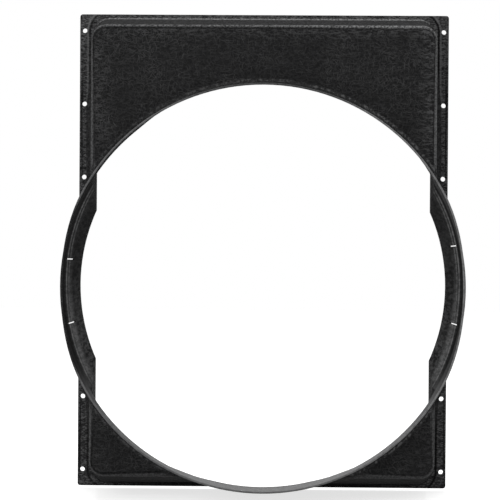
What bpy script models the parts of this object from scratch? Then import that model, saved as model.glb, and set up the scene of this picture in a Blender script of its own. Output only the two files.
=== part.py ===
"""Radiator fan shroud: a one-piece moulding in glass-fibre reinforced polyester.

A shallow pan bolts over the radiator by its two side flanges. A round collar stands out of the
pan's panel and surrounds the fan. The collar is wider than the pan, so the wall bulges past the
pan at both sides and at the bottom, and runs on as far as the mounting plane.

Metres, +Z up, +X to the right. The collar's rim faces -Y and the mounting plane faces +Y. The
origin lies under the middle of the shroud, level with its lowest point. A depth is measured from
the rim towards the mounting plane.
"""
import bmesh
import bpy
from math import asin, cos, degrees, hypot, pi, radians, sin

# Overall sizes
DEPTH = 0.175
WALL = 0.004
PLATE_WIDTH = 0.815
PLATE_HEIGHT = 1.044
FLANGE_THICKNESS = 0.005
PLATE_CORNER = 0.006

# The collar round the fan, and the bulges behind it. Its top leans in towards the rim between two
# angles from straight up, and its rim is a little flattened where it overhangs the pan's sides.
COLLAR_RADIUS = 0.425
COLLAR_DROP = 0.076
COLLAR_LENGTH = 0.040
COLLAR_DRAFT = 0.0015
TOP_DRAFT = 0.0045
TOP_DRAFT_LEFT = 38.0
TOP_DRAFT_RIGHT = 58.0
TOP_DRAFT_FADE = 7.0
RIM_FLATTENING = 0.007
RIM_FLAT_REACH = 30.0
COLLAR_FILLET = 0.008
FILLET_SETBACK = 0.002
RIM_ROUND = 0.0012
SIDE_BULGE_PROUD = 0.0005
BOTTOM_BULGE_PROUD = 0.0055
BULGE_BEND = 0.016

# The pan: how far it stands in from the plate's edge, and how much each wall slopes
SIDE_FLANGE = 0.0345
TOP_LIP = 0.006
BOTTOM_LIP = 0.007
SIDE_SLOPE = 0.009
TOP_SLOPE = 0.047
BOTTOM_SLOPE = 0.041
PAN_CORNER = 0.030
PAN_EDGE_ROUND = 0.009
FOOT_FILLET = 0.004

# Bolt holes down the side flanges, at even pitches but left out where a bulge is in the way
BOLT_DIAMETER = 0.0105
BOLT_EDGE = 0.0105
BOLT_END = 0.036
BOLT_STEPS_EACH_WAY = 3

# Adjusting slots through the side bulges, by their height above the middle of the collar
SLOT_WIDTH = 0.0025
SLOT_LENGTH = 0.050
SLOT_SETBACK = 0.090
SLOTS_RIGHT = (0.092, -0.078)
SLOTS_LEFT = (0.058, -0.081)

# Fineness of the curves
COLLAR_STEPS = 144
CORNER_STEPS = 6
ROUND_STEPS = 4
RIM_STEPS = 2
HOLE_STEPS = 24
SLOT_END_STEPS = 6

# How far a cutter runs past what it cuts, how deep a fillet ends inside the panel, and the
# longest edge that counts as a sliver
OVERRUN = 0.008
FILLET_SINK = 0.0004
SLIVER = 0.00004

# Worked out from the sizes above
HALF_WIDTH = PLATE_WIDTH / 2
HALF_HEIGHT = PLATE_HEIGHT / 2
SIDE_BULGE_RADIUS = HALF_WIDTH + SIDE_BULGE_PROUD
BOTTOM_BULGE_RADIUS = HALF_HEIGHT - COLLAR_DROP + BOTTOM_BULGE_PROUD
COLLAR_HEIGHT = BOTTOM_BULGE_RADIUS
PLATE_CENTRE = COLLAR_HEIGHT + COLLAR_DROP
PANEL_BACK = COLLAR_LENGTH + WALL
PAN_BACK = (HALF_WIDTH - SIDE_FLANGE, HALF_HEIGHT - TOP_LIP, HALF_HEIGHT - BOTTOM_LIP)
PAN_FRONT = (PAN_BACK[0] - SIDE_SLOPE, PAN_BACK[1] - TOP_SLOPE, PAN_BACK[2] - BOTTOM_SLOPE)
BOLT_LINE = HALF_WIDTH - BOLT_EDGE
BOLT_PITCH = (HALF_HEIGHT - BOLT_END) / BOLT_STEPS_EACH_WAY


def clear_scene():
    for item in list(bpy.data.objects):
        bpy.data.objects.remove(item, do_unlink=True)


def behind_rim(depth):
    """The Y of a plane that lies this far behind the collar's rim."""
    return depth - DEPTH / 2


def between(first, last, share):
    return first + (last - first) * share


def clamped(value):
    return min(max(value, 0.0), 1.0)


def quarter(steps):
    """Angles from 0 to 90 degrees, for a rounded corner or a fillet."""
    return [pi / 2 * step / steps for step in range(steps + 1)]


def moulded_material():
    material = bpy.data.materials.new("black_glass_fibre_polyester")
    material.use_nodes = True
    shader = material.node_tree.nodes["Principled BSDF"]
    shader.inputs["Base Color"].default_value = (0.030, 0.030, 0.032, 1.0)
    shader.inputs["Roughness"].default_value = 0.55
    shader.inputs["Metallic"].default_value = 0.0
    return material


def add_loft(shape, loops):
    """Adds one closed solid to a shape, through loops of points, with a flat cap at each end."""
    rings = [[shape.verts.new(point) for point in loop] for loop in loops]
    for front, back in zip(rings, rings[1:]):
        for step in range(len(front)):
            shape.faces.new((front[step - 1], front[step], back[step], back[step - 1]))
    shape.faces.new(rings[0])
    shape.faces.new(rings[-1])


def make_object(name, lofts):
    """An object of one or more separate lofted solids, with every face flat and pointing out."""
    shape = bmesh.new()
    for loops in lofts:
        add_loft(shape, loops)
    bmesh.ops.recalc_face_normals(shape, faces=shape.faces)
    bmesh.ops.triangulate(shape, faces=[face for face in shape.faces if len(face.verts) == 4])
    mesh = bpy.data.meshes.new(name)
    shape.to_mesh(mesh)
    shape.free()
    item = bpy.data.objects.new(name, mesh)
    bpy.context.scene.collection.objects.link(item)
    return item


def rounded_rectangle(half_width, top, bottom, corner, depth):
    """A loop round the pan or the plate; top and bottom are measured from the plate's centre."""
    middles = (
        (half_width - corner, top - corner, 0.0),
        (half_width - corner, corner - bottom, 90.0),
        (corner - half_width, corner - bottom, 180.0),
        (corner - half_width, top - corner, 270.0),
    )
    loop = []
    for x, z, start in middles:
        for step in range(CORNER_STEPS + 1):
            turn = radians(start + 90.0 * step / CORNER_STEPS)
            loop.append((x + corner * sin(turn), behind_rim(depth), PLATE_CENTRE + z + corner * cos(turn)))
    return loop


def pan_loop(depth, outward):
    """The pan's sloping wall at one depth, moved outward from its outer face."""
    share = (depth - COLLAR_LENGTH) / (DEPTH - COLLAR_LENGTH)
    half_width, top, bottom = [between(front, back, share) + outward
                               for front, back in zip(PAN_FRONT, PAN_BACK)]
    return rounded_rectangle(half_width, top, bottom, PAN_CORNER + outward, depth)


def pan_outside():
    """The pan as a full block: rounded front edge, sloping walls and a fillet at the foot."""
    loops = []
    for turn in quarter(ROUND_STEPS):
        depth = COLLAR_LENGTH + PAN_EDGE_ROUND * (1 - cos(turn))
        loops.append(pan_loop(depth, -PAN_EDGE_ROUND * (1 - sin(turn))))
    foot = DEPTH - FLANGE_THICKNESS
    for turn in quarter(ROUND_STEPS):
        loops.append(pan_loop(foot - FOOT_FILLET * (1 - sin(turn)), FOOT_FILLET * (1 - cos(turn))))
    loops.append(pan_loop(DEPTH + OVERRUN, FOOT_FILLET))
    return make_object("fan_shroud", [loops])


def pan_hollow():
    """The space inside the pan, one wall smaller all round."""
    inner_round = PAN_EDGE_ROUND - WALL
    loops = []
    for turn in quarter(ROUND_STEPS):
        depth = PANEL_BACK + inner_round * (1 - cos(turn))
        loops.append(pan_loop(depth, -WALL - inner_round * (1 - sin(turn))))
    loops.append(pan_loop(DEPTH + OVERRUN, -WALL))
    return make_object("pan_hollow", [loops])


def flange_plate():
    """The plate that the two side flanges and the narrow top and bottom lips are left from."""
    loops = []
    for depth in (DEPTH - FLANGE_THICKNESS, DEPTH + OVERRUN):
        loops.append(rounded_rectangle(HALF_WIDTH, HALF_HEIGHT, HALF_HEIGHT, PLATE_CORNER, depth))
    return make_object("flange_plate", [loops])


def top_share(turn):
    """1 where the collar's top leans in, falling to 0 past the angles it ends at."""
    angle = (degrees(turn) + 180.0) % 360.0 - 180.0
    from_left = clamped((TOP_DRAFT_LEFT + angle) / TOP_DRAFT_FADE)
    return from_left * clamped((TOP_DRAFT_RIGHT - angle) / TOP_DRAFT_FADE)


def flat_share(turn):
    """1 at the middle of each side of the rim, where it is flattest, falling smoothly to 0."""
    away = abs(degrees(turn) % 180.0 - 90.0) / RIM_FLAT_REACH
    return (1 + cos(pi * min(away, 1.0))) / 2


def panel_room(turn):
    """How much flat panel lies outside the collar in this direction, measured along its radius."""
    flat_side = PAN_FRONT[0] - PAN_EDGE_ROUND
    flat_top = PAN_FRONT[1] - PAN_EDGE_ROUND + COLLAR_DROP
    flat_bottom = PAN_FRONT[2] - PAN_EDGE_ROUND - COLLAR_DROP
    across = abs(sin(turn)) / flat_side
    along = cos(turn) / flat_top if cos(turn) > 0 else -cos(turn) / flat_bottom
    return 1 / max(across, along) - COLLAR_RADIUS - COLLAR_DRAFT - TOP_DRAFT * top_share(turn)


def fillet_share(turn):
    """1 where the collar meets flat panel, falling to 0 before the collar overhangs the pan."""
    return clamped((panel_room(turn) - FILLET_SETBACK) / COLLAR_FILLET)


def back_radius(turn):
    """The wall's outer radius at the mounting plane: the bottom bulge, then the side bulges.

    One radius runs into the other between the lower corners of the pan, where both lie inside it.
    """
    bottom_reach = asin(min(PAN_FRONT[0] / COLLAR_RADIUS, 1.0))
    from_bottom = abs(pi - turn)
    share = clamped((from_bottom - bottom_reach / 2) / (bottom_reach / 4))
    return between(BOTTOM_BULGE_RADIUS, SIDE_BULGE_RADIUS, share)


def barrel_loop(depth, offset, fillet, bulge_share):
    """A loop round the collar; fillet widens it where the collar meets the panel."""
    share = clamped(depth / COLLAR_LENGTH)
    loop = []
    for step in range(COLLAR_STEPS):
        turn = 2 * pi * step / COLLAR_STEPS
        radius = COLLAR_RADIUS + share * (COLLAR_DRAFT + TOP_DRAFT * top_share(turn))
        radius -= (1 - share) * RIM_FLATTENING * flat_share(turn)
        radius += (back_radius(turn) - radius) * bulge_share + offset + fillet * fillet_share(turn)
        loop.append((radius * sin(turn), behind_rim(depth), COLLAR_HEIGHT + radius * cos(turn)))
    return loop


def barrel_loops(inward, fillet_radius, panel_plane, rim_side):
    """Collar and bulges as one turned form, from the rim to past the mounting plane."""
    loops = []
    for turn in quarter(RIM_STEPS):
        rounding = rim_side * RIM_ROUND * (1 - sin(turn))
        loops.append(barrel_loop(RIM_ROUND * (1 - cos(turn)), -inward - rounding, 0.0, 0.0))
    for turn in quarter(ROUND_STEPS):
        depth = panel_plane + FILLET_SINK - fillet_radius * (1 - sin(turn))
        loops.append(barrel_loop(depth, -inward, fillet_radius * (1 - cos(turn)), 0.0))
    loops.append(barrel_loop(panel_plane + WALL / 2, -inward, fillet_radius, 0.0))
    for depth in (panel_plane + BULGE_BEND, DEPTH + OVERRUN):
        share = (depth - panel_plane) / (DEPTH - panel_plane)
        loops.append(barrel_loop(depth, -inward, 0.0, share))
    return loops


def barrel_outside():
    """The collar and the bulges as a full block."""
    loops = barrel_loops(0.0, COLLAR_FILLET, COLLAR_LENGTH, 1)
    return make_object("collar_and_bulges", [loops])


def barrel_bore():
    """The space inside the collar and the bulges, with the mouth behind the panel rounded."""
    loops = barrel_loops(WALL, COLLAR_FILLET + WALL, PANEL_BACK, -1)
    loops.insert(0, barrel_loop(-OVERRUN, RIM_ROUND - WALL, 0.0, 0.0))
    return make_object("collar_bore", [loops])


def trim_slab():
    """Squares off the back, so that flanges and bulges end in one plane."""
    reach = PLATE_WIDTH + PLATE_HEIGHT
    loops = []
    for depth in (DEPTH, DEPTH + 3 * OVERRUN):
        loops.append(rounded_rectangle(reach, reach, reach, PLATE_CORNER, depth))
    return make_object("trim_slab", [loops])


def bolt_places():
    """Where the bolts go: even pitches down each flange, clear of the side bulges."""
    places = []
    for step in range(-BOLT_STEPS_EACH_WAY, BOLT_STEPS_EACH_WAY + 1):
        height = step * BOLT_PITCH
        if hypot(BOLT_LINE, height + COLLAR_DROP) > SIDE_BULGE_RADIUS + BOLT_DIAMETER:
            places += [(-BOLT_LINE, height), (BOLT_LINE, height)]
    return places


def bolt_hole(across, height):
    """A round cutter through a side flange; its height is measured from the plate's centre."""
    loops = []
    for depth in (DEPTH - FLANGE_THICKNESS - OVERRUN, DEPTH + OVERRUN):
        loop = []
        for step in range(HOLE_STEPS):
            turn = 2 * pi * step / HOLE_STEPS
            x = across + BOLT_DIAMETER / 2 * sin(turn)
            z = PLATE_CENTRE + height + BOLT_DIAMETER / 2 * cos(turn)
            loop.append((x, behind_rim(depth), z))
        loops.append(loop)
    return loops


def slot(side, height):
    """A round-ended slot, cut square through a side bulge at this height."""
    turn = asin(height / COLLAR_RADIUS)
    straight = (SLOT_LENGTH - SLOT_WIDTH) / 2
    outermost = max(COLLAR_RADIUS + COLLAR_DRAFT, SIDE_BULGE_RADIUS) + OVERRUN
    innermost = min(COLLAR_RADIUS, SIDE_BULGE_RADIUS) - WALL - OVERRUN
    loops = []
    for radius in (outermost, innermost):
        loop = []
        for end in (1, -1):
            for step in range(SLOT_END_STEPS + 1):
                swing = pi * step / SLOT_END_STEPS
                across = end * SLOT_WIDTH / 2 * cos(swing)
                along = end * (straight + SLOT_WIDTH / 2 * sin(swing))
                x = side * (radius * cos(turn) - across * sin(turn))
                z = COLLAR_HEIGHT + radius * sin(turn) + across * cos(turn)
                loop.append((x, behind_rim(SLOT_SETBACK + along), z))
        loops.append(loop)
    return loops


def holes_and_slots():
    """Every bolt hole down the side flanges, and the slots through the side bulges."""
    lofts = [bolt_hole(across, height) for across, height in bolt_places()]
    lofts += [slot(-1, height) for height in SLOTS_LEFT]
    lofts += [slot(1, height) for height in SLOTS_RIGHT]
    return make_object("holes_and_slots", lofts)


def combine(target, tool, operation):
    """A Boolean with a hidden tool, and a weld that closes the slivers it leaves."""
    tool.hide_render = True
    tool.display_type = "WIRE"
    boolean = target.modifiers.new(tool.name, "BOOLEAN")
    boolean.operation = operation
    boolean.solver = "EXACT"
    boolean.object = tool
    weld = target.modifiers.new(tool.name + "_slivers", "WELD")
    weld.merge_threshold = SLIVER


def build():
    clear_scene()
    shroud = pan_outside()
    shroud.data.materials.append(moulded_material())
    combine(shroud, barrel_outside(), "UNION")
    combine(shroud, flange_plate(), "UNION")
    combine(shroud, pan_hollow(), "DIFFERENCE")
    combine(shroud, barrel_bore(), "DIFFERENCE")
    combine(shroud, trim_slab(), "DIFFERENCE")
    combine(shroud, holes_and_slots(), "DIFFERENCE")
    shroud.modifiers.new("flat_faces", "TRIANGULATE")
    shroud.data.shade_smooth()
    shroud.data.set_sharp_from_angle(angle=radians(30.0))


build()
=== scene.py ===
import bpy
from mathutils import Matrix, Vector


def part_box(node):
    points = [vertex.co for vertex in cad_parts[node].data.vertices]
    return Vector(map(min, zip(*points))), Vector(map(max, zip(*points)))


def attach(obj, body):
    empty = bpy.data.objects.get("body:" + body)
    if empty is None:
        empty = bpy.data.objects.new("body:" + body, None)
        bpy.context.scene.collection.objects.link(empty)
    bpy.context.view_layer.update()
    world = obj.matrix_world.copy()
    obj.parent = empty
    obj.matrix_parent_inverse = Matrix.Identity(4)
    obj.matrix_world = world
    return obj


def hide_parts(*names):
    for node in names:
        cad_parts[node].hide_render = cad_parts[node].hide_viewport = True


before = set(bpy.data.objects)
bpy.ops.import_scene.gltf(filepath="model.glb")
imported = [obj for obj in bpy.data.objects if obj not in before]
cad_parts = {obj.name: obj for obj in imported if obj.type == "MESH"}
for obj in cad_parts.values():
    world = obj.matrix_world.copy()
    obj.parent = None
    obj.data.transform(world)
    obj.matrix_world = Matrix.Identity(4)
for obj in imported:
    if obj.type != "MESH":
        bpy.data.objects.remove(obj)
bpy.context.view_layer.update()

# %% [markdown]
# A radiator fan shroud is one moulding of glass-fibre polyester: a shallow pan that bolts over the
# radiator, with a round collar that stands out of it round the fan. Its solid comes in with the
# frame, at its real size and place, so nothing has to be fitted here. This script gives it its
# surface, and then a stage, lights and a camera. Lengths are in metres. The collar's rim faces -Y,
# towards the camera, and the mounting plane faces +Y. Places are measured from the solid's own box,
# so the finish follows it if it is made again.

# %% sizes
import bpy
from math import atan2, pi, radians
from mathutils import Matrix, Vector

NODE = "fan_shroud"
PLATE_HEIGHT = 1.044
COLLAR_DROP = 0.076
COLLAR_RADIUS = 0.425
COLLAR_LENGTH = 0.040
FLANGE_THICKNESS = 0.005
PAN_HALF_WIDTH = 0.373
PAN_HALF_HEIGHT = 0.5155
PAN_CORNER = 0.030

low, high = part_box(NODE)
RIM = low.y
PANEL = RIM + COLLAR_LENGTH
FLANGE = high.y - FLANGE_THICKNESS
PLATE_CENTRE = high.z - PLATE_HEIGHT / 2
COLLAR_CENTRE = PLATE_CENTRE - COLLAR_DROP
print("shroud box", [round(value, 4) for value in (*low, *high)])

# %% [markdown]
# The camera stands straight in front of the plate, a little above its middle, and looks almost
# level. Its distance sets how much of the side bulges shows behind the rim: nearer, and the
# mounting plane would look smaller and the bulges deeper. A camera can be aimed by a target, but
# here its turn is written as one matrix: turned up from the floor, rolled, tipped and then swung
# round, in that order, so each small angle can be set by itself.

# %% camera
CAMERA_PLACE = Vector((-0.0005, -2.487, PLATE_CENTRE + 0.0159))
CAMERA_SWING = 0.0108
CAMERA_TIP = -0.0052
CAMERA_ROLL = -0.0068
FOCAL_PIXELS = 1161.0
PICTURE_PIXELS = 500
SENSOR = 36.0

camera = bpy.data.objects.new("camera", bpy.data.cameras.new("camera"))
bpy.context.scene.collection.objects.link(camera)
camera.data.sensor_width = SENSOR
camera.data.lens = FOCAL_PIXELS * SENSOR / PICTURE_PIXELS
turn = Matrix.Rotation(CAMERA_SWING, 4, "Z") @ Matrix.Rotation(CAMERA_TIP, 4, "X")
turn = turn @ Matrix.Rotation(CAMERA_ROLL, 4, "Y") @ Matrix.Rotation(pi / 2, 4, "X")
camera.matrix_world = Matrix.Translation(CAMERA_PLACE) @ turn
bpy.context.scene.camera = camera
print("camera lens", round(camera.data.lens, 2), "mm")

# %% [markdown]
# The visible shell could be modelled again from a cube and a circle, but then two forms would have
# to agree to a tenth of a millimetre round the whole collar. It is a copy of the solid instead,
# whose mesh comes as loose triangles, so its doubled corners are merged first. The pan's top edge
# was pressed a little further up than the plain slope of the solid gives, so the bend between top
# slope and panel is picked by its place and moved up. Edges under 35 degrees are then shaded
# smooth, so that the collar is round and the trimmed edges stay crisp.

# %% shell
MERGE = 0.00001
TOP_BEND_FROM = 0.96
TOP_BEND_LIFT = 0.0045
SMOOTH_ANGLE = radians(35)

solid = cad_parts[NODE]
shroud = solid.copy()
shroud.data = solid.data.copy()
shroud.name = "moulded_shroud"
shroud.parent = None
for key in list(shroud.keys()):
    del shroud[key]
bpy.context.scene.collection.objects.link(shroud)
bpy.ops.object.select_all(action="DESELECT")
shroud.select_set(True)
bpy.context.view_layer.objects.active = shroud
bpy.ops.object.mode_set(mode="EDIT")
bpy.ops.mesh.select_all(action="SELECT")
bpy.ops.mesh.remove_doubles(threshold=MERGE)
bpy.ops.mesh.select_all(action="DESELECT")
bpy.ops.object.mode_set(mode="OBJECT")
for vertex in shroud.data.vertices:
    vertex.select = vertex.co.z > TOP_BEND_FROM and vertex.co.y < 0.0
bpy.ops.object.mode_set(mode="EDIT")
bpy.ops.transform.translate(value=(0, 0, TOP_BEND_LIFT))
bpy.ops.object.mode_set(mode="OBJECT")
bpy.ops.object.shade_smooth_by_angle(angle=SMOOTH_ANGLE)
print("shell has", len(shroud.data.vertices), "corners and", len(shroud.data.polygons), "faces")

# %% [markdown]
# Chopped strands lie flat in the laminate, so their pattern has to follow the surface. A pattern in
# space would cut the strands into dots where a wall turns away. The shell therefore gets a UV map
# measured in metres: the panel and flanges are laid out as they are seen from the front, the
# sloping walls from their own side, and the collar is unrolled round its centre. Each of these
# sheets lies in its own part of the map, a few metres from the next.

# %% map of the surface
SHEET_GAP = 3.0
NEAR_COLLAR = 0.030
ALONG_COLLAR = 0.75
FACING_FRONT = 0.5


def round_middle(point):
    """A point's offset from the middle of the collar, seen from the front."""
    return Vector((point.x, 0.0, point.z - COLLAR_CENTRE))


def on_collar(middle, normal):
    """True on the outer and the inner face of the collar and of its bulges."""
    across = round_middle(middle)
    near = abs(across.length - COLLAR_RADIUS) < NEAR_COLLAR
    return near and abs(across.normalized().dot(normal)) > ALONG_COLLAR


def angle_round(point):
    """0 straight below the middle of the collar, growing towards +X."""
    return atan2(point.x, COLLAR_CENTRE - point.z)


def unrolled(point, middle):
    """Distance round the collar and across it, with no jump inside a face at the top."""
    angle, near = angle_round(point), angle_round(middle)
    if angle - near > pi:
        angle -= 2 * pi
    if near - angle > pi:
        angle += 2 * pi
    return (angle * COLLAR_RADIUS + SHEET_GAP, point.y)


def laid_flat(point, middle, normal):
    """Where a corner lies in the map, chosen by its face's middle and direction."""
    if on_collar(middle, normal):
        return unrolled(point, middle)
    if abs(normal.y) > FACING_FRONT:
        return (point.x, point.z)
    if abs(normal.x) > abs(normal.z):
        return (point.y + 2 * SHEET_GAP, point.z)
    return (point.x + 3 * SHEET_GAP, point.y)


flat_map = shroud.data.uv_layers.new(name="strand_map")
for face in shroud.data.polygons:
    for corner in face.loop_indices:
        point = shroud.data.vertices[shroud.data.loops[corner].vertex_index].co
        flat_map.data[corner].uv = laid_flat(point, face.center, face.normal)
print("mapped", len(flat_map.data), "corners")

# %% [markdown]
# A material is a graph of nodes. Written out in full it is long and hard to read, so a few small
# helpers do the wiring: join fills an input, add makes a node, math and product calculate, step is
# the smooth step that nearly every mask here is made of, bump_at is a band with soft edges, and
# blend lays one colour over another. Where a step starts and ends is written as a pair of numbers,
# and where it doesn't go from 0 to 1, its first and last level follow. A pair that runs downwards
# gives a mask that fades as its value grows.


# %% node helpers
def join(tree, source, target):
    """Puts a value, a colour or another node's output into an input."""
    if isinstance(source, bpy.types.NodeSocket):
        tree.links.new(source, target)
    else:
        target.default_value = source


def add(tree, kind, *inputs, output=0, **settings):
    """Adds a node, fills its inputs in order (None skips one) and returns one of its outputs."""
    node = tree.nodes.new("ShaderNode" + kind)
    for name, value in settings.items():
        setattr(node, name, value)
    for source, target in zip(inputs, node.inputs):
        if source is not None:
            join(tree, source, target)
    return node.outputs[output]


def math(tree, operation, *values):
    return add(tree, "Math", *values, operation=operation)


def product(tree, *values):
    result = values[0]
    for value in values[1:]:
        result = math(tree, "MULTIPLY", result, value)
    return result


def step(tree, value, start, end, first=0.0, last=1.0):
    """A smooth step from the first level to the last while the value goes from start to end."""
    return add(tree, "MapRange", value, start, end, first, last,
               interpolation_type="SMOOTHSTEP")


def bump_at(tree, value, middle, reach):
    """1 where the value is at the middle, falling smoothly to 0 at the reach on both sides."""
    away = math(tree, "ABSOLUTE", math(tree, "SUBTRACT", value, middle))
    return step(tree, away, reach, 0.0)


def blend(tree, share, first, second):
    """The first colour where share is 0, the second where it is 1."""
    node = add(tree, "Mix", data_type="RGBA").node
    join(tree, share, node.inputs["Factor"])
    join(tree, first, node.inputs[6])
    join(tree, second, node.inputs[7])
    return node.outputs[2]


print("helpers join, add, math, product, step, bump_at and blend")

# %% [markdown]
# One chopped strand is a short, slightly bent hair of glass. A Voronoi texture gives every spot the
# middle of its nearest cell and a random colour for that cell. The colour turns the cell's own axes
# by a random angle, and a thin curved band along one axis is the strand. Its edges and ends fade,
# so it looks sunk into the resin. Most strands lie nearly level, as the mat came off its roll, so
# small angles are made likelier by squaring. The whole strand is a node group, because it is needed
# several times.

# %% one strand
MOST_LEAN = 1.5
MOST_BOW = 0.9
STRAND_EDGE = (1.6, 0.3)
STRAND_END = (0.66, 0.44)
STRAND_LEVELS = (0.10, 1.0, 0.15, 1.0)


def strand_group():
    """A node group that draws one short curved strand in every cell of a pattern."""
    tree = bpy.data.node_groups.new("chopped_strands", "ShaderNodeTree")
    socket = tree.interface.new_socket
    socket("Place", in_out="INPUT", socket_type="NodeSocketVector")
    socket("Cell size", in_out="INPUT", socket_type="NodeSocketFloat")
    socket("Strand width", in_out="INPUT", socket_type="NodeSocketFloat")
    socket("Amount", in_out="OUTPUT", socket_type="NodeSocketFloat")
    given = tree.nodes.new("NodeGroupInput").outputs
    result = tree.nodes.new("NodeGroupOutput").inputs
    per_cell = math(tree, "DIVIDE", 1.0, given["Cell size"])
    scaled = add(tree, "VectorMath", given["Place"], None, None, per_cell, operation="SCALE")
    cells = add(tree, "TexVoronoi", scaled, voronoi_dimensions="2D").node
    cells.inputs["Scale"].default_value = 1.0
    chance = add(tree, "SeparateColor", cells.outputs["Color"]).node.outputs
    away = add(tree, "VectorMath", scaled, cells.outputs["Position"], operation="SUBTRACT")
    turned = add(tree, "VectorRotate", away, rotation_type="Z_AXIS").node
    lean = step(tree, chance["Red"], 0.0, 1.0, -1.0, 1.0)
    lean = product(tree, lean, math(tree, "ABSOLUTE", lean), MOST_LEAN)
    join(tree, lean, turned.inputs["Angle"])
    axes = add(tree, "SeparateXYZ", turned.outputs[0]).node.outputs
    bow = math(tree, "SUBTRACT", chance["Green"], 0.5)
    curve = product(tree, axes["X"], axes["X"], bow, MOST_BOW)
    across = math(tree, "ABSOLUTE", math(tree, "SUBTRACT", axes["Y"], curve))
    half = product(tree, given["Strand width"], per_cell, 0.5)
    edge = step(tree, across, *(product(tree, half, limit) for limit in STRAND_EDGE))
    end = step(tree, math(tree, "ABSOLUTE", axes["X"]), *STRAND_END)
    strength = step(tree, chance["Blue"], *STRAND_LEVELS)
    join(tree, product(tree, edge, end, strength), result["Amount"])
    return tree


STRAND = strand_group()
print("strand group has", len(STRAND.nodes), "nodes")

# %% [markdown]
# One layer of such strands is sparse and regular, so seven are laid over each other at different
# cell sizes, as the mat is. Where strands cross, the brighter one shows.

# %% strand mat
STRAND_WIDTH = 0.0009
# Cell size, width against STRAND_WIDTH, and where in the endless pattern each layer starts
MAT_LAYERS = (
    (0.0140, 1.0, (0.31, 0.77, 0)),
    (0.0115, 0.9, (1.93, 0.18, 0)),
    (0.0095, 0.8, (2.42, 3.61, 0)),
    (0.0125, 0.9, (4.72, 1.33, 0)),
    (0.0080, 0.8, (5.05, 2.87, 0)),
    (0.0105, 0.8, (3.55, 6.21, 0)),
    (0.0070, 0.7, (6.37, 4.46, 0)),
)


def strand_mat(tree, place):
    """All layers of the mat at a place in the strand map."""
    total = 0.0
    for cell, width, offset in MAT_LAYERS:
        layer = tree.nodes.new("ShaderNodeGroup")
        layer.node_tree = STRAND
        join(tree, add(tree, "VectorMath", place, offset, operation="ADD"), layer.inputs["Place"])
        layer.inputs["Cell size"].default_value = cell
        layer.inputs["Strand width"].default_value = width * STRAND_WIDTH
        total = math(tree, "MAXIMUM", total, layer.outputs["Amount"])
    return total


print("mat of", len(MAT_LAYERS), "layers")

# %% [markdown]
# The finish changes from place to place. Each change could be painted on by hand as an attribute,
# but then its edges would follow the triangles. Here every mask is worked out from where a spot is
# and which way it faces, so its edges are soft. A spot is on the inner face of the collar or of a
# bulge where it faces the collar's middle, and on the pan's sloping border where it faces neither
# straight to the front nor back. Both fade out a little way beyond the collar.

# %% where a spot is
INNER_FACING = (-0.60, -0.95)
INNER_REACH = (COLLAR_RADIUS + 0.055, COLLAR_RADIUS + 0.002)
OFF_THE_FRONT = (-0.985, -0.93)
OFF_THE_SIDE = (-0.005, -0.03)
BORDER_REACH = (COLLAR_RADIUS + 0.012, COLLAR_RADIUS + 0.022)

material = bpy.data.materials.new("black_glass_fibre_polyester")
material.use_nodes = True
tree = material.node_tree
shader = tree.nodes["Principled BSDF"]

coordinates = add(tree, "TexCoord").node.outputs
place = coordinates["Object"]
x, y, z = add(tree, "SeparateXYZ", place).node.outputs
sideways, front, top = add(tree, "SeparateXYZ", coordinates["Normal"]).node.outputs
wide = math(tree, "ABSOLUTE", x)
depth = math(tree, "SUBTRACT", y, RIM)
rise = math(tree, "SUBTRACT", z, COLLAR_CENTRE)
radius = math(tree, "ADD", product(tree, x, x), product(tree, rise, rise))
radius = math(tree, "SQRT", radius)
outward = math(tree, "ADD", product(tree, x, sideways), product(tree, rise, top))
outward = math(tree, "DIVIDE", outward, radius)
inner = product(tree, step(tree, outward, *INNER_FACING), step(tree, radius, *INNER_REACH))
border = product(tree, step(tree, front, *OFF_THE_FRONT), step(tree, front, *OFF_THE_SIDE),
                 step(tree, radius, *BORDER_REACH))
print("places and directions take", len(tree.nodes), "nodes")

# %% [markdown]
# Hand-laid laminate is never even, so nearly every mask is broken up by a noise. Five serve the
# whole part, from a fine grain to patches as wide as a hand. One of them is drawn out from front to
# back, because the mat was pulled down over the sides. A noise stays near 0.5, so a step from 0.42
# to 0.58 parts it into patches with soft edges. The noises read Object coordinates, so they run on
# round corners. The hairs are different: they read the strand map, which is swirled gently, so that
# neighbouring strands lean together.

# %% noises and hairs
DOWN_THE_SIDES = (1.0, 0.25, 1.0)
SWIRL_SCALE = 26.0
SWIRL = 0.016


def noise(tree, place, scale, detail=3.0, roughness=0.7, output=0):
    return add(tree, "TexNoise", place, None, scale, detail, roughness, output=output)


def stretched(tree, place, stretch, scale):
    """A noise drawn out along one direction, as strands are where the mat was pulled."""
    return noise(tree, add(tree, "VectorMath", place, stretch, operation="MULTIPLY"), scale)


def swirled_map(tree):
    flat = add(tree, "UVMap", uv_map="strand_map")
    waves = noise(tree, flat, SWIRL_SCALE, detail=2.0, roughness=0.5, output=1)
    waves = add(tree, "VectorMath", waves, (0.5, 0.5, 0.5), operation="SUBTRACT")
    waves = add(tree, "VectorMath", waves, None, None, SWIRL, operation="SCALE")
    return add(tree, "VectorMath", flat, waves, operation="ADD")


grain = noise(tree, place, 380.0)
speckle = noise(tree, place, 230.0)
blotches = noise(tree, place, 105.0, roughness=0.65)
patches = noise(tree, place, 11.0, detail=4.0, roughness=0.6)
runs = stretched(tree, place, DOWN_THE_SIDES, 150.0)
hairs = strand_mat(tree, swirled_map(tree))
print("with noises and hairs", len(tree.nodes), "nodes")

# %% [markdown]
# The panel is the plain case. Its resin is pigmented nearly black and has no gloss coat, so the
# glass shows through as a fine grain, faint level streaks and grey hairs. The mat was pressed in by
# hand, so the hairs are dense in some patches and drowned in others. The back never touched the
# mould, so there they are dense all over. The colours are laid over each other from dark to light,
# as a painter would.

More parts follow.
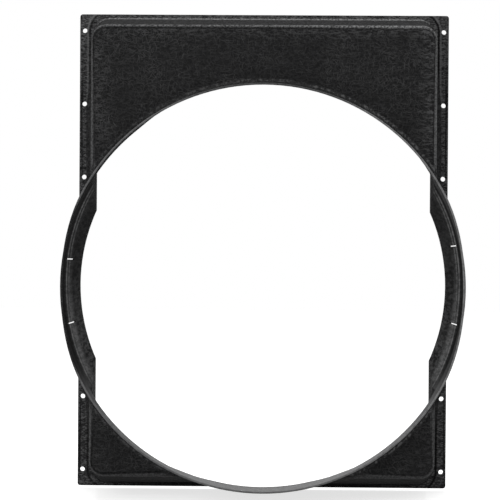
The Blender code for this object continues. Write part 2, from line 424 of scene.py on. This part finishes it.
# %% panel
BLACK_LOW = (0.0110, 0.0110, 0.0113, 1)
BLACK_HIGH = (0.0230, 0.0230, 0.0234, 1)
HAZE = (0.034, 0.034, 0.0345, 1)
GLASS = (0.078, 0.078, 0.079, 1)
GRAINY = (0.30, 0.75)
ACROSS_THE_PANEL = (0.35, 1.0, 1.0)
STREAK_SCALE = 260.0
HAZY = (0.46, 0.66)
HAZE_SHARE = 0.7
PATCHY = (0.36, 0.66, 0.40, 1.0)
FACING_BACK = (0.0, 0.25)

streaks = stretched(tree, place, ACROSS_THE_PANEL, STREAK_SCALE)
colour = blend(tree, step(tree, grain, *GRAINY), BLACK_LOW, BLACK_HIGH)
colour = blend(tree, product(tree, step(tree, streaks, *HAZY), HAZE_SHARE), colour, HAZE)
density = step(tree, patches, *PATCHY)
density = math(tree, "MAXIMUM", density, step(tree, front, *FACING_BACK))
colour = blend(tree, product(tree, hairs, density), colour, GLASS)
print("with the panel", len(tree.nodes), "nodes")

# %% [markdown]
# The hairs crowd along the panel's sides and top, where the mat had to turn, most of all at the
# upper right. There they run together into short frosted streaks.

# %% frosted edges of the panel
FROST = (0.115, 0.115, 0.117, 1)
NEAR_THE_SIDE = (0.305, 0.366)
NEAR_THE_TOP = (0.968, 0.996, 0.0, 0.9)
MORE_ON_THE_RIGHT = (-0.1, 0.3, 0.45, 1.0)
MORE_HIGH_UP = (0.55, 0.80, 0.35, 1.0)
FROSTED = (0.47, 0.62)

crowd = math(tree, "MAXIMUM", step(tree, wide, *NEAR_THE_SIDE), step(tree, z, *NEAR_THE_TOP))
frost = product(tree, crowd, step(tree, x, *MORE_ON_THE_RIGHT), step(tree, z, *MORE_HIGH_UP),
                step(tree, streaks, *FROSTED), density)
colour = blend(tree, frost, colour, FROST)
print("with the frosted edges", len(tree.nodes), "nodes")

# %% [markdown]
# The collar's inner walls were pulled smooth. They are blacker than the panel, most of all close
# behind the rim, where the black is painted shade, with grey runs further back and hardly a hair.
# Only on the right is the strip behind the rim a lighter grey, which is painted light falling on
# that wall from the left.

# %% inner walls
WALL_BLACK_AND_SHADE = (0.0030, 0.0030, 0.0031, 1)
WALL_GREY = (0.0230, 0.0230, 0.0234, 1)
LIT_STRIP_GREY = (0.048, 0.048, 0.0485, 1)
BEHIND_THE_RIM = (0.050, 0.064, 0.05, 1.0)
WALL_RUNS = (0.42, 0.58)
WALL_SPECKLE = (0.42, 0.58, 0.45, 1.0)
WALL_HAIRS = 0.20
ON_THE_RIGHT = (0.10, 0.34)
LIT_STRIP = (0.052, 0.042)
LIT_SPECKLE = (0.36, 0.60, 0.60, 1.0)

# Painted shade: close behind the rim the inner wall stays black.
behind = step(tree, depth, *BEHIND_THE_RIM)
mottled = product(tree, step(tree, runs, *WALL_RUNS), step(tree, speckle, *WALL_SPECKLE), behind)
wall = blend(tree, mottled, WALL_BLACK_AND_SHADE, WALL_GREY)
wall = blend(tree, product(tree, hairs, behind, WALL_HAIRS), wall, GLASS)
# Painted light: a lighter grey strip behind the rim on the right.
on_the_right = step(tree, x, *ON_THE_RIGHT)
painted_light_strip = product(tree, on_the_right, step(tree, depth, *LIT_STRIP),
               step(tree, speckle, *LIT_SPECKLE))
wall = blend(tree, painted_light_strip, wall, LIT_STRIP_GREY)
colour = blend(tree, inner, colour, wall)
print("with the inner walls", len(tree.nodes), "nodes")

# %% [markdown]
# The flanges show more glass than resin. The mat was pulled sideways over the edge of the mould
# there, which left short level streaks. The mask is the flange's own plane, seen from the front.

# %% flanges
STREAK = (0.145, 0.145, 0.147, 1)
FLANGE_PLANE = (FLANGE - 0.002, FLANGE - 0.0005)
FACING_THE_FRONT = (-0.5, -0.9)
FINE_STREAK_SCALE = 420.0
STREAKED = (0.46, 0.64)

on_flange = product(tree, step(tree, y, *FLANGE_PLANE), step(tree, front, *FACING_THE_FRONT))
fine_streaks = stretched(tree, place, ACROSS_THE_PANEL, FINE_STREAK_SCALE)
colour = blend(tree, product(tree, on_flange, step(tree, fine_streaks, *STREAKED)), colour, STREAK)
print("with the flanges", len(tree.nodes), "nodes")

# %% [markdown]
# Beside the pan a side flange has a black crease, which is painted shade in the corner where the
# flange meets the pan's wall, and then a broken light line, which is a painted highlight on the
# fillet there. Both run round the pan's corners, so they need the distance from its outline, which
# is a rectangle with round corners. How far a spot lies past the corner's centre, sideways and
# upwards, gives its distance from that centre, and the corner's radius is taken off.

# %% crease beside the pan
SLOPE_BLACK_AND_SHADE = (0.0050, 0.0050, 0.0051, 1)
HIGHLIGHT_GREY = (0.180, 0.180, 0.182, 1)
CREASE_FROM_PAN = 0.0125
CREASE_REACH = 0.0042
LINE_FROM_PAN = 0.0170
LINE_REACH = 0.0034
CREASE_ON_THE_RIGHT = (-0.2, 0.2, 0.75, 1.0)
LINE_HIGH_UP = (0.3, 0.8, 0.15, 0.75)
LINE_SPECKLE = (0.42, 0.56, 0.4, 1.0)


def past(tree, value, limit):
    """How far a value lies past a limit, and 0 before it."""
    return math(tree, "MAXIMUM", math(tree, "SUBTRACT", value, limit), 0.0)


past_side = past(tree, wide, PAN_HALF_WIDTH - PAN_CORNER)
from_middle = math(tree, "ABSOLUTE", math(tree, "SUBTRACT", z, PLATE_CENTRE))
past_end = past(tree, from_middle, PAN_HALF_HEIGHT - PAN_CORNER)
from_pan = math(tree, "ADD", product(tree, past_side, past_side),
                product(tree, past_end, past_end))
from_pan = math(tree, "SUBTRACT", math(tree, "SQRT", from_pan), PAN_CORNER)
# Painted shade: the black crease beside the pan.
crease = product(tree, bump_at(tree, from_pan, CREASE_FROM_PAN, CREASE_REACH), on_flange,
                 step(tree, x, *CREASE_ON_THE_RIGHT))
# Painted highlight: the broken light line on the fillet beside the pan.
line = product(tree, bump_at(tree, from_pan, LINE_FROM_PAN, LINE_REACH), on_flange,
               step(tree, z, *LINE_HIGH_UP), step(tree, speckle, *LINE_SPECKLE))
colour = blend(tree, crease, colour, SLOPE_BLACK_AND_SHADE)
colour = blend(tree, line, colour, HIGHLIGHT_GREY)
print("with the crease", len(tree.nodes), "nodes")

# %% [markdown]
# The pan's border has a light line where it leaves the flange, which is a painted highlight on the
# fillet, a black slope with streaks running down it, and a light line on the bend to the panel,
# which is a painted highlight where the bend catches the light, thin on the left and wide on the
# right. All of them follow one number, which goes from 0 at the flange to 1 at the panel.

# %% border of the pan
SLOPE_GREY = (0.0230, 0.0230, 0.0234, 1)
BEND_HIGHLIGHT = (0.150, 0.150, 0.152, 1)
DOWN_THE_SLOPE = (1.0, 0.30, 1.0)
SLOPE_SCALE = 230.0
SLOPE_STREAKS = (0.38, 0.66)
SLOPE_HAIRS = 0.15
BREAKS = (0.43, 0.57)
UNBROKEN = (0.965, 0.995, 0.50, 0.20)
FOOT_AT = 0.09
FOOT_REACH = 0.15
FOOT_AT_THE_TOP = (0.90, 0.98, 0.35, 1.0)
TO_THE_RIGHT = (0.0, 0.3)
UPPER_PART = (0.6, 0.8)
BEND_AT = (0.84, 0.94)
BEND_LEVELS = (0.60, 0.40)
BEND_FACING = -0.90
BEND_WIDER = -0.08
BEND_SOFT = 0.25

climb = add(tree, "MapRange", y, FLANGE, PANEL, 0.0, 1.0)
fibres = stretched(tree, place, DOWN_THE_SLOPE, SLOPE_SCALE)
slope = blend(tree, step(tree, fibres, *SLOPE_STREAKS), SLOPE_BLACK_AND_SHADE, SLOPE_GREY)
slope = blend(tree, product(tree, hairs, SLOPE_HAIRS), slope, GLASS)
broken = step(tree, fibres, *BREAKS, step(tree, z, *UNBROKEN), 1.0)
# Painted highlight: the light line at the foot of the border, stronger at the top.
foot = product(tree, bump_at(tree, climb, FOOT_AT, FOOT_REACH), broken,
               step(tree, z, *FOOT_AT_THE_TOP))
right = step(tree, x, *TO_THE_RIGHT)
upper_right = product(tree, right, step(tree, z, *UPPER_PART))
strength = math(tree, "ADD", BEND_LEVELS[0], product(tree, upper_right, BEND_LEVELS[1]))
facing = math(tree, "ADD", BEND_FACING, product(tree, right, BEND_WIDER))
# Painted highlight: the light line on the bend to the panel.
bend = product(tree, step(tree, climb, *BEND_AT), strength, broken,
               step(tree, front, facing, math(tree, "ADD", facing, BEND_SOFT)))
slope = blend(tree, foot, slope, HIGHLIGHT_GREY)
slope = blend(tree, bend, slope, BEND_HIGHLIGHT)
colour = blend(tree, border, colour, slope)
print("with the border", len(tree.nodes), "nodes")

# %% [markdown]
# The collar grows out of the panel with a small fillet. A broken light line along the fillet's
# outer edge is a painted highlight, where the fillet catches the light, plainer on the right.

# %% foot of the collar
BARE_AND_HIGHLIGHT_GREY = (0.165, 0.165, 0.167, 1)
FOOT_RADIUS = COLLAR_RADIUS + 0.0120
FOOT_LINE_REACH = 0.0045
BEHIND_THE_FOOT = (PANEL + 0.002, PANEL + 0.001)
BEFORE_THE_FOOT = (PANEL - 0.012, PANEL - 0.009)
FACING_FORWARD = (-0.02, -0.10)
HIGHLIGHT_BREAKS = (0.48, 0.58, 0.12, 0.9)
PLAINER_ON_THE_RIGHT = (-0.20, 0.25, 0.45, 1.0)

# Painted highlight: the broken light line along the collar's fillet.
line = product(tree, bump_at(tree, radius, FOOT_RADIUS, FOOT_LINE_REACH),
               step(tree, y, *BEHIND_THE_FOOT), step(tree, y, *BEFORE_THE_FOOT),
               step(tree, front, *FACING_FORWARD), step(tree, blotches, *HIGHLIGHT_BREAKS),
               step(tree, x, *PLAINER_ON_THE_RIGHT))
colour = blend(tree, line, colour, BARE_AND_HIGHLIGHT_GREY)
print("with the collar's foot", len(tree.nodes), "nodes")

# %% [markdown]
# On their inner face the side bulges have two light lines, painted highlights where they turn in
# behind the collar and the bend catches the light. The lines lie a little deeper at the widest
# place and lower down, so their depth is worked out from the height. Behind them the wall has a
# soft painted sheen, widest in the lower part.

# %% painted highlights inside the bulges
BULGE_HIGHLIGHT = (0.230, 0.230, 0.232, 1)
LOWER_PART = (0.10, -0.16)
LINE_DEPTH = 0.064
DEEPER_LOW_DOWN = 0.008
DEEPER_AT_WIDEST = 0.007
WIDEST_REACH = 0.16
FIRST_REACH = 0.008
FIRST_SHARE = 0.80
SECOND_BEHIND = 0.016
SECOND_REACH = 0.009
SECOND_SHARE = 0.55
SOFT_BEHIND = 0.020
SOFT_REACH = 0.034
SOFT_LEVELS = (0.05, 0.50)
FURTHER_BACK = (0.06, 0.09, 0.0, 0.16)
SOFT_RUNS = (0.40, 0.60)
HIGHLIGHT_RUNS = (0.42, 0.58, 0.55, 1.0)
BESIDE_THE_FAN = (0.335, 0.365)
BULGE_ENDS = (0.240, 0.170)

lower = step(tree, rise, *LOWER_PART)
first = math(tree, "ADD", LINE_DEPTH, product(tree, lower, DEEPER_LOW_DOWN))
first = math(tree, "ADD", first,
             product(tree, bump_at(tree, rise, 0.0, WIDEST_REACH), DEEPER_AT_WIDEST))
second = math(tree, "ADD", first, SECOND_BEHIND)
behind_lines = math(tree, "ADD", first, SOFT_BEHIND)
lines = math(tree, "MAXIMUM",
             product(tree, bump_at(tree, depth, first, FIRST_REACH), FIRST_SHARE),
             product(tree, bump_at(tree, depth, second, SECOND_REACH), SECOND_SHARE))
level = math(tree, "ADD", SOFT_LEVELS[0], product(tree, lower, SOFT_LEVELS[1]))
soft = product(tree, bump_at(tree, depth, behind_lines, SOFT_REACH), level)
soft = math(tree, "MAXIMUM", soft, product(tree, lower, step(tree, depth, *FURTHER_BACK),
                                           step(tree, runs, *SOFT_RUNS)))
# Painted highlights and a soft painted sheen on the bulges' inner faces.
bulge_highlight = product(tree, math(tree, "MAXIMUM", lines, soft), step(tree, runs, *HIGHLIGHT_RUNS),
                 step(tree, wide, *BESIDE_THE_FAN),
                 step(tree, math(tree, "ABSOLUTE", rise), *BULGE_ENDS), inner)
colour = blend(tree, bulge_highlight, colour, BULGE_HIGHLIGHT)
print("with the rubbed lines", len(tree.nodes), "nodes")

# %% [markdown]
# Dust settles on what faces up in the lower part: the inside of the collar's bottom and the pan's
# lower slope. Its pale grey is partly that dust and partly a painted sheen, where those faces catch
# the light from above. It could be scattered as particles, but it is only a chalky film, so the
# mask is how much a spot faces up. It thins out towards the radiator.

# %% settled dust and painted sheen
DUST_AND_SHEEN_GREY = (0.265, 0.265, 0.267, 1)
FACING_UP = (0.25, 0.98)
LOW_DOWN = (-0.12, -0.24)
THINNER_BEHIND = (0.065, 0.150, 1.0, 0.25)
DUST_BLOTCHES = (0.2, 0.8, 0.75, 1.0)

# Partly settled dust, partly a painted sheen on the faces that look up.
dust_and_sheen = product(tree, step(tree, top, *FACING_UP), step(tree, rise, *LOW_DOWN),
               step(tree, depth, *THINNER_BEHIND), step(tree, blotches, *DUST_BLOTCHES))
colour = blend(tree, dust_and_sheen, colour, DUST_AND_SHEEN_GREY)
print("with the dust", len(tree.nodes), "nodes")

# %% [markdown]
# The rim was trimmed with a saw, so it shows bare laminate. It is lightest on the right, partly as
# painted light; on the left the sawn colour is left off, so the rim stays black as painted shade,
# and at the top it is duller. The mask is the first millimetre or two of the depth.

# %% trimmed rim
SAWN_AND_LIT_GREY = (0.240, 0.240, 0.242, 1)
RIM_EDGE = (0.0016, 0.0010)
FAR_LEFT = (-0.34, -0.385)
BESIDE_THE_MIDDLE = (0.20, 0.15)
RIM_SHADE_SHARE = 0.97
DULLER_AT_THE_TOP = (0.36, 0.41, 1.0, 0.40)
RIM_BLOTCHES = (0.40, 0.56, 0.65, 1.0)

# Painted shade: on the far left the rim keeps the dark colour beneath it.
rim_shade = product(tree, step(tree, x, *FAR_LEFT),
                step(tree, math(tree, "ABSOLUTE", rise), *BESIDE_THE_MIDDLE), RIM_SHADE_SHARE)
trimmed = product(tree, step(tree, depth, *RIM_EDGE), math(tree, "SUBTRACT", 1.0, rim_shade),
                  step(tree, rise, *DULLER_AT_THE_TOP), step(tree, blotches, *RIM_BLOTCHES))
# The lighter grey on the right is partly painted light.
colour = blend(tree, trimmed, colour, blend(tree, on_the_right, BARE_AND_HIGHLIGHT_GREY, SAWN_AND_LIT_GREY))
print("with the rim", len(tree.nodes), "nodes")

# %% [markdown]
# The shader itself stays plain. The surface is matte, so its specular level is far below the usual
# one: under a white sky, more of it would turn every wall that is seen edge-on grey. The hairs and
# the grain also stand out a little, which the bump node shows without any more faces.

# %% shader
MATTE = 0.01
ROUGHNESS = (0.3, 0.75, 0.62, 0.74)
HAIR_ROUGHNESS = 0.1
HAIR_HEIGHT = 0.8
GRAIN_HEIGHT = 0.5
BUMP_STRENGTH = 0.35
BUMP_HEIGHT = 0.0004

join(tree, colour, shader.inputs["Base Color"])
rough = math(tree, "ADD", step(tree, grain, *ROUGHNESS), product(tree, hairs, HAIR_ROUGHNESS))
join(tree, rough, shader.inputs["Roughness"])
shader.inputs["Specular IOR Level"].default_value = MATTE
height = math(tree, "ADD", product(tree, hairs, HAIR_HEIGHT), product(tree, grain, GRAIN_HEIGHT))
bump = tree.nodes.new("ShaderNodeBump")
bump.inputs["Strength"].default_value = BUMP_STRENGTH
bump.inputs["Distance"].default_value = BUMP_HEIGHT
join(tree, height, bump.inputs["Height"])
join(tree, bump.outputs[0], shader.inputs["Normal"])
shroud.data.materials.clear()
shroud.data.materials.append(material)
print("moulding material has", len(tree.nodes), "nodes")

# %% [markdown]
# A black part on white needs a floor that reads white but still holds its shadow. The floor is pale
# paint, lit like the rest. Camera rays also see it glow by just as much as its own light falls
# short of white, so open floor is white, and the shadow stays as the part of its light that is
# missing. Nothing of that glow falls on the shroud.

# %% floor
FLOOR_REACH = 14.0
FLOOR_DROP = 0.0005
PAINT = 0.62
PAINT_ROUGHNESS = 0.9
WHITE = (1, 1, 1, 1)
GLOW = 0.72


def seen_or_mirrored(tree):
    """1 for a ray from the camera, or mirrored or let through on its way, and 0 for plain light."""
    rays = add(tree, "LightPath").node.outputs
    mirrored = math(tree, "MAXIMUM", rays["Is Glossy Ray"], rays["Is Transmission Ray"])
    return math(tree, "MAXIMUM", rays["Is Camera Ray"], mirrored)


bpy.ops.mesh.primitive_plane_add(size=FLOOR_REACH, location=(0, 0, -FLOOR_DROP))
floor = bpy.context.object
floor.name = "floor"
paint = bpy.data.materials.new("pale_floor")
paint.use_nodes = True
tree = paint.node_tree
shader = tree.nodes["Principled BSDF"]
shader.inputs["Base Color"].default_value = (PAINT, PAINT, PAINT, 1)
shader.inputs["Roughness"].default_value = PAINT_ROUGHNESS
shader.inputs["Specular IOR Level"].default_value = 0.0
shader.inputs["Emission Color"].default_value = WHITE
join(tree, product(tree, seen_or_mirrored(tree), GLOW), shader.inputs["Emission Strength"])
floor.data.materials.append(paint)
print("floor is", FLOOR_REACH, "m wide")

# %% [markdown]
# The room is a plain white surround. Seen directly, or mirrored, it is white; as a light it is
# dimmer, and one wide soft lamp above and one in front on the left give the form its shading. The
# lamps are large and near, so no shadow has a hard edge.

# %% light
ROOM_LIGHT = 0.50

world = bpy.data.worlds.new("studio")
bpy.context.scene.world = world
world.use_nodes = True
tree = world.node_tree
tree.nodes.clear()
brightness = step(tree, seen_or_mirrored(tree), 0.0, 1.0, ROOM_LIGHT, 1.0)
background = add(tree, "Background", WHITE, brightness)
join(tree, background, tree.nodes.new("ShaderNodeOutputWorld").inputs[0])


def soft_light(name, place, target, size, watts):
    lamp = bpy.data.lights.new(name, "AREA")
    lamp.shape = "RECTANGLE"
    lamp.size, lamp.size_y = size
    lamp.energy = watts
    item = bpy.data.objects.new(name, lamp)
    bpy.context.scene.collection.objects.link(item)
    item.location = place
    item.rotation_euler = (Vector(target) - Vector(place)).to_track_quat("-Z", "Y").to_euler()


soft_light("overhead", place=(0.0, 0.3, 2.9), target=(0, 0, 0.5), size=(2.4, 1.6), watts=60)
soft_light("front_left", place=(-2.2, -2.6, 2.0), target=(0, 0, 0.6), size=(1.6, 1.6), watts=25)
bpy.context.scene.view_settings.view_transform = "Standard"
print("room light", ROOM_LIGHT, "and two soft lamps")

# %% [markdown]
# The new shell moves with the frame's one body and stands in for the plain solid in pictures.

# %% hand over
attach(shroud, "root")
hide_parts(NODE)
